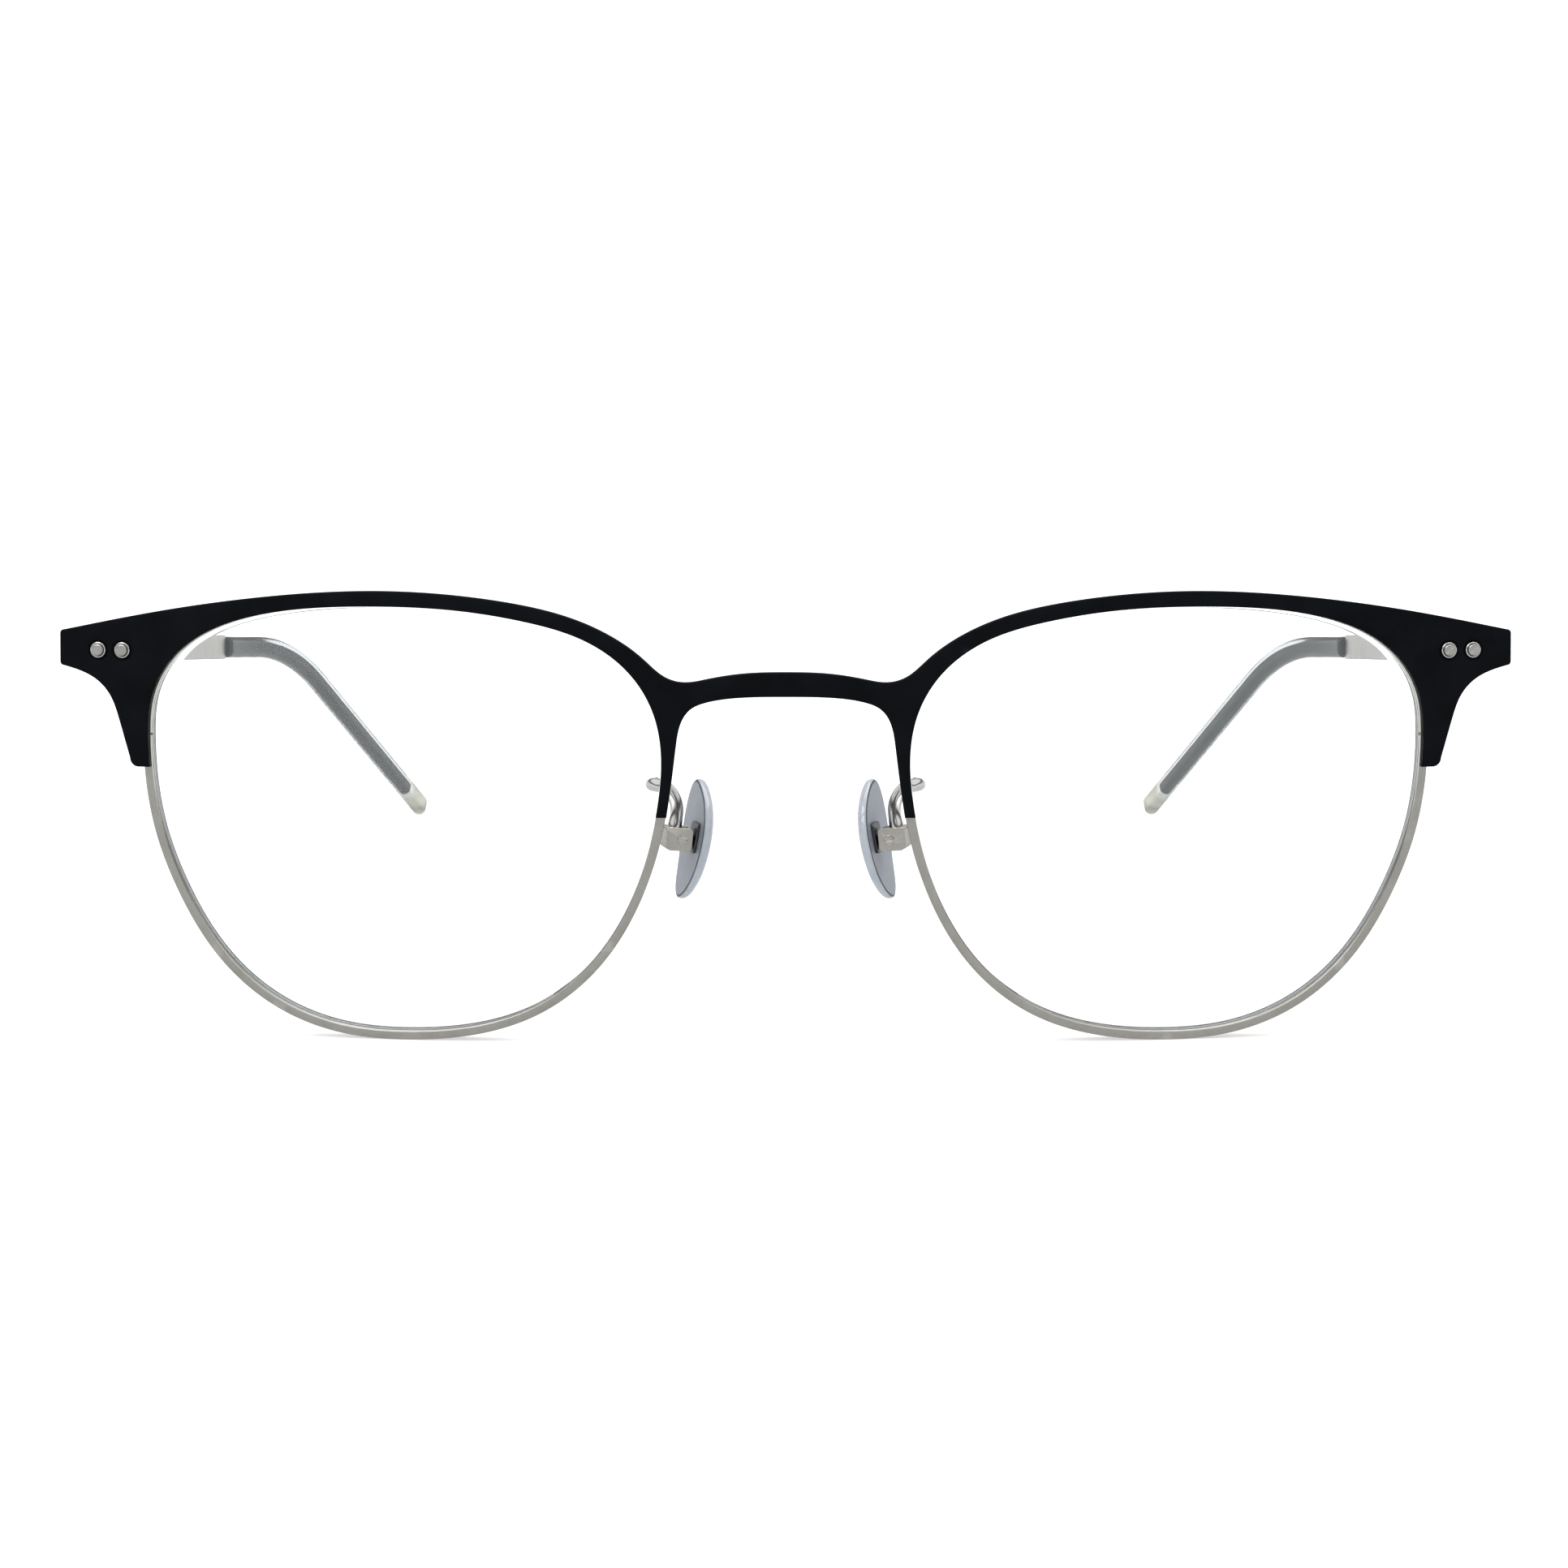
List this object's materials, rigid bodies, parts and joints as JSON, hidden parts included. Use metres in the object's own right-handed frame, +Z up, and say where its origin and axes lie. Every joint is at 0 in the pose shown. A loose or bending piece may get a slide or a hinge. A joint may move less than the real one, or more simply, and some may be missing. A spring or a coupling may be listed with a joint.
{
  "type": "half rim eyeglasses",
  "caption": "Eyeglasses with a matt black brow plate riveted over thin silver rims, clear lenses, adjustable nose pads and folding temples with translucent tips.",
  "frame": {"origin": "middle of the bounding box, on the table the glasses stand on", "axes": "+Z up, front faces -Y, open temples run to +Y, +X is the wearer's left"},
  "size_m": [0.1412, 0.1418, 0.0441],
  "materials": {
    "brow_black": "matt black coating",
    "rim_silver": "satin silver",
    "temple_silver": "satin silver",
    "hinge_metal": "satin",
    "rivet_metal": "brushed flat heads",
    "bright_metal": "polished",
    "pad_metal": "satin nickel",
    "insert_dark": "polished",
    "core_grey": "satin dark grey",
    "sleeve_clear": "translucent",
    "pad_clear": "clear soft plastic",
    "lens_clear": "clear, anti-reflection coated"
  },
  "bodies": {
    "front": {"brow_front": "brow_black", "eyewire_left": "rim_silver", "eyewire_right": "rim_silver", "lens_left": "lens_clear", "lens_right": "lens_clear", "rim_lock_upper_left": "rim_silver", "rim_lock_upper_right": "rim_silver", "rim_lock_lower_left": "rim_silver", "rim_lock_lower_right": "rim_silver", "rim_screw_left": "bright_metal", "rim_screw_right": "bright_metal", "rivet_pins_left": "rivet_metal", "rivet_pins_right": "rivet_metal", "rivet_collars_left": "bright_metal", "rivet_collars_right": "bright_metal", "hinge_front_left": "hinge_metal", "hinge_front_right": "hinge_metal", "hinge_screw_left": "bright_metal", "hinge_screw_right": "bright_metal", "pad_arm_left": "bright_metal", "pad_arm_right": "bright_metal", "pad_box_left": "pad_metal", "pad_box_right": "pad_metal", "pad_screw_left": "bright_metal", "pad_screw_right": "bright_metal"},
    "temple_left_arm": {"temple_left": "temple_silver", "hinge_temple_left": "hinge_metal", "temple_core_left": "core_grey", "temple_ferrule_left": "core_grey", "temple_sleeve_left": "sleeve_clear"},
    "temple_right_arm": {"temple_right": "temple_silver", "hinge_temple_right": "hinge_metal", "temple_core_right": "core_grey", "temple_ferrule_right": "core_grey", "temple_sleeve_right": "sleeve_clear"},
    "pad_left": {"pad_insert_left": "insert_dark", "nose_pad_left": "pad_clear"},
    "pad_right": {"pad_insert_right": "insert_dark", "nose_pad_right": "pad_clear"}
  },
  "joints": [
    {"name": "temple_fold_left", "type": "hinge", "parent": "front", "child": "temple_left_arm", "pos_m": [0.066, -0.0601, 0.03784], "axis": [0, 0, 1], "range_deg": [0, 82]},
    {"name": "temple_fold_right", "type": "hinge", "parent": "front", "child": "temple_right_arm", "pos_m": [-0.066, -0.0601, 0.03784], "axis": [0, 0, -1], "range_deg": [0, 78]},
    {"name": "pad_rock_left", "type": "hinge", "parent": "front", "child": "pad_left", "pos_m": [0.01043, -0.0627, 0.01917], "axis": [0.2924, 0.9563, 0], "range_deg": [-8, 8]},
    {"name": "pad_rock_right", "type": "hinge", "parent": "front", "child": "pad_right", "pos_m": [-0.01043, -0.0627, 0.01917], "axis": [-0.2924, 0.9563, 0], "range_deg": [-8, 8]}
  ]
}
